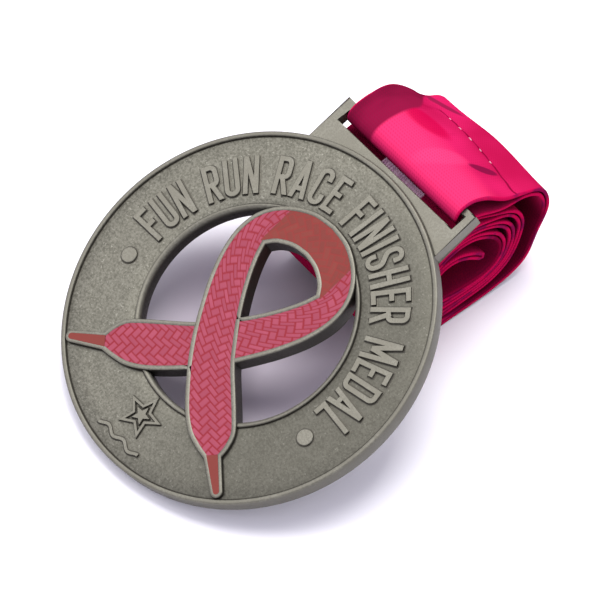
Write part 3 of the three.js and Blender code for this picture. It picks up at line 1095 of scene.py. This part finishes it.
def enamel_material(name, light, dark, line, line_strength):
    """Soft enamel: braid blocks that differ a little in tone, with darker printed lines between them."""
    n = Nodes(name)
    place = n.place()
    body = n.mix(n.attribute("tone"), dark, light)
    cloud = n.noise(place, 2.2, 3)
    body = n.mix(n.ramp(cloud, 0.35, 0.7, 0.0, 0.35), body, dark)
    colour = n.mix(n.product(n.attribute("joint"), line_strength), body, line)
    fine = n.noise(place, 0.25, 2)
    n.bump(fine, 0.02, 0.3)
    return n.finish(colour, n.ramp(fine, 0.3, 0.7, 0.5, 0.62), Specular_IOR_Level=0.12)


class ClothNodes(Nodes):
    """Nodes that know a point's place across and along the flat cloth."""

    def __init__(self, name):
        super().__init__(name)
        self.across = self.attribute("across")
        self.along = self.attribute("along")

    def yarns(self, across_scale, along_scale, detail, seed=0.0):
        """Noise that is stretched by its two scales."""
        x, y = self.product(self.across, across_scale), self.product(self.along, along_scale)
        return self.noise(self.join(x, y, seed), 1.0, detail)

    def patch(self, middle, reach, turn, outer, inner, strength):
        """A soft elliptical patch."""
        distance = self.ellipse(self.across, self.along, middle, reach, turn)
        return self.ramp(distance, outer, inner, 0.0, strength)


def within(n, value, middle, size):
    """1 where a value is inside a stretch of this size, with a short soft edge."""
    off = n.math("ABSOLUTE", n.math("SUBTRACT", value, middle))
    return n.ramp(off, size / 2, size / 2 - 0.2)


def pink_print_and_painted_highlight(n, streak):
    """The satin's pinks: printed clouds and streaks, a painted highlight before the seam and two soft patches."""
    cloud = n.ramp(n.yarns(0.06, 0.035, 2), 0.35, 0.65)
    pink = n.mix(cloud, (0.34, 0.005, 0.048), (0.48, 0.011, 0.085))
    pink = n.mix(n.ramp(streak, 0.56, 0.72, 0.0, 0.75), pink, (0.25, 0.001, 0.03))
    # painted highlight on the top run between the bar and the seam
    painted_highlight = n.product(n.ramp(n.along, -18.5, -14.5), n.ramp(n.along, -5.0, -11.5), 0.85)
    pink = n.mix(painted_highlight, pink, (0.66, 0.03, 0.12))
    pink = n.mix(n.patch((-4.5, -6.5), (5.0, 2.4), 15.0, 1.4, 0.4, 0.8), pink, (0.4, 0.001, 0.04))
    pink = n.mix(n.patch((3.5, -10.5), (5.0, 2.0), 60.0, 1.5, 0.4, 0.6), pink, (0.7, 0.04, 0.14))
    return n.mix(n.ramp(n.along, -15.0, -18.5), pink, (0.38, 0.012, 0.07))


def with_dark_print_and_fold_shadow(n, colour, streak):
    """Adds the dark band at the far edge, a leaf by the seam and a painted shadow in a small fold behind it."""
    from_edge = n.math("ADD", n.across, RIBBON_WIDTH / 2)
    past_band = n.math("SUBTRACT", from_edge, n.ramp(n.along, -6.0, 4.5, 6.8, 0.8))
    band = n.product(n.ramp(past_band, 0.4, -0.4), n.ramp(n.along, 6.0, 3.0))
    dye = n.mix(n.ramp(streak, 0.35, 0.65), (0.115, 0.004, 0.022), (0.185, 0.006, 0.034))
    colour = n.mix(band, colour, dye)
    leaf = n.patch((8.1, -3.6), (3.2, 0.9), 62.0, 1.2, 0.6, 0.85)
    colour = n.mix(leaf, colour, (0.12, 0.004, 0.03))
    # painted shadow in the small fold behind the seam
    fold = n.patch((-11.2, 6.3), (4.4, 1.1), 20.0, 1.4, 0.5, 0.9)
    return n.mix(fold, colour, (0.19, 0.009, 0.042))


def with_seam_shade_and_edges(n, colour):
    """Adds painted shade along the groove that the stitches pull in, and the darker yarn of the ribbon's two
    edges.
    """
    seam = n.math("ADD", n.product(n.across, SEAM_SLANT), SEAM_MIDDLE)
    off_seam = n.math("ABSOLUTE", n.math("SUBTRACT", n.along, seam))
    start = n.ramp(n.across, THREAD_START - 1, THREAD_START)
    # painted shade: a dark line in the groove that the stitches pull in
    line = n.product(n.ramp(off_seam, 0.34, 0.1, 0.0, 0.85), start)
    colour = n.mix(line, colour, (0.12, 0.001, 0.016))
    plum = n.ramp(n.yarns(0.9, 0.16, 3, seed=9.0), 0.48, 0.62)
    edge_yarn = n.mix(plum, (0.44, 0.003, 0.055), (0.14, 0.005, 0.05))
    return n.mix(n.ramp(n.math("ABSOLUTE", n.across), 14.5, 14.75, 0.0, 0.9), colour, edge_yarn)


def painted_shade_depth(n, pale_patch):
    """How deep in painted shade a place is. The pale patch and the cloth under the slot's end stay clearer."""
    depth = n.ramp(n.occlusion(6.0), 0.75, 0.15, 0.0, 0.92)
    depth = n.math("MAXIMUM", depth, n.product(n.attribute("shade"), 0.88))
    run_part = n.product(n.ramp(n.along, 97.0, 93.0), n.ramp(n.along, 80.0, 84.0))
    slot_end = n.product(n.ramp(n.across, 3.0, 7.0), run_part, 0.7)
    return n.product(depth, n.math("SUBTRACT", 1.0, pale_patch), n.math("SUBTRACT", 1.0, slot_end))


def ribbon_material():
    """Dye-printed satin: a fine weave over the printed colours and painted highlight, a pale lilac patch and the
    roll's painted shade.
    """
    n = ClothNodes("satin_ribbon")
    streak = n.yarns(0.16, 0.05, 3, seed=4.0)
    colour = with_dark_print_and_fold_shadow(n, pink_print_and_painted_highlight(n, streak), streak)
    colour = with_seam_shade_and_edges(n, colour)
    # a pale lilac patch on the cloth that shows through the slot
    pale_patch = n.product(
        within(n, n.across, PALE_PATCH_PLACE[0], PALE_PATCH_SIZE[0]),
        within(n, n.along, PALE_PATCH_PLACE[1], PALE_PATCH_SIZE[1]),
    )
    lilac = n.mix(n.ramp(n.yarns(2.6, 0.2, 2), 0.35, 0.65), (0.68, 0.33, 0.56), (0.98, 0.65, 0.84))
    colour = n.mix(pale_patch, colour, lilac)
    # painted shade in the roll's crevices and hollows
    colour = n.mix(painted_shade_depth(n, pale_patch), colour, (0.055, 0.001, 0.01))
    flat = n.join(n.across, n.along)
    weave = n.math("ADD", n.wave(flat, "DIAGONAL", 1.1), n.wave(flat, "Y", 0.55))
    n.bump(weave, 0.02, 0.5)
    colour = n.mix(n.ramp(weave, 0.8, 0.2, 0.0, 0.35), colour, (0.22, 0.001, 0.028))
    return n.finish(colour, 0.6, Specular_IOR_Level=0.0)


def thread_material():
    n = Nodes("sewing_thread")
    fibre = n.noise(n.place(), 0.15, 2)
    colour = n.mix(n.ramp(fibre, 0.35, 0.65), (0.42, 0.12, 0.19), (0.62, 0.32, 0.4))
    n.bump(fibre, 0.05, 0.6)
    return n.finish(colour, 0.75, Sheen_Weight=0.3)


# -------- floor and light

# the shade painted on the floor under the disc: its middle and the radii where it ends and where it is full
SHADE_PLACE = (-3.5, -8.0)
SHADE_OUTER_RADIUS = 31.0
SHADE_INNER_RADIUS = 13.0
FLOOR_COLOUR = (0.83, 0.825, 0.87)
SHADE_COLOUR = (0.42, 0.375, 0.44)
FLOOR_REACH = 3.0
SKY_COLOUR = (0.88, 0.86, 0.97, 1)
SKY_STRENGTH = 1.15
LIGHT_COLOUR = (1.0, 0.99, 0.97)


def make_floor():
    """A white sweep, with a painted soft shade where the disc leans over it."""
    n = Nodes("floor")
    distance_squared = n.ellipse(n.attribute("x"), n.attribute("y"), SHADE_PLACE, (1, 1), 0)
    shade = n.ramp(distance_squared, SHADE_OUTER_RADIUS**2, SHADE_INNER_RADIUS**2)
    mesh = bpy.data.meshes.new("floor")
    reach = FLOOR_REACH
    corners = [(-reach, -reach, 0), (reach, -reach, 0), (reach, reach, 0), (-reach, reach, 0)]
    mesh.from_pydata(corners, [], [(0, 1, 2, 3)])
    for axis, key in enumerate("xy"):
        layer = mesh.attributes.new(key, "FLOAT", "POINT")
        layer.data.foreach_set("value", [corner[axis] / MM for corner in corners])
    mesh.materials.append(n.finish(n.mix(shade, FLOOR_COLOUR, SHADE_COLOUR), 0.7))
    floor = bpy.data.objects.new("floor", mesh)
    bpy.context.scene.collection.objects.link(floor)


def add_area_light(name, place, size, power):
    """A square light that faces the object."""
    data = bpy.data.lights.new(name, "AREA")
    data.size = size
    data.energy = power
    data.color = LIGHT_COLOUR
    light = bpy.data.objects.new(name, data)
    light.location = place
    light.rotation_euler = (-Vector(place)).to_track_quat("-Z", "Y").to_euler()
    bpy.context.scene.collection.objects.link(light)


def make_lights():
    world = bpy.data.worlds.new("studio")
    world.use_nodes = True
    background = world.node_tree.nodes["Background"]
    background.inputs["Color"].default_value = SKY_COLOUR
    background.inputs["Strength"].default_value = SKY_STRENGTH
    bpy.context.scene.world = world
    add_area_light("top", (-0.1, 0.2, 0.97), 0.5, 9.5)
    add_area_light("side", (-0.46, -0.32, 0.83), 0.4, 2.0)
    bpy.context.scene.view_settings.view_transform = "Standard"


# -------- the object

make_camera()
make_floor()
make_lights()

nickel = nickel_material()
smooth_nickel = smooth_nickel_material()
pink_enamel = enamel_material(
    "pink_enamel", (0.29, 0.054, 0.085), (0.24, 0.041, 0.066), (0.205, 0.016, 0.024), 1.0,
)
coral_enamel = enamel_material(
    "coral_enamel", (0.178, 0.036, 0.028), (0.152, 0.031, 0.025), (0.22, 0.02, 0.02), 0.4,
)

make_ring(nickel)
make_marks(smooth_nickel)
make_lug(smooth_nickel)
make_lace_walls(smooth_nickel)
make_lace_floor("cast_pocket_front", smooth_nickel, False, LACE_BOTTOM, POCKET_FLOOR)
make_lace_floor("cast_pocket_rear", smooth_nickel, True, LACE_BOTTOM + 0.03, POCKET_FLOOR - 0.05)
make_enamels(pink_enamel, coral_enamel)
make_aglets(coral_enamel)
ribbon_line, ribbon_along = make_ribbon(ribbon_material())
make_thread(thread_material(), ribbon_line, ribbon_along)
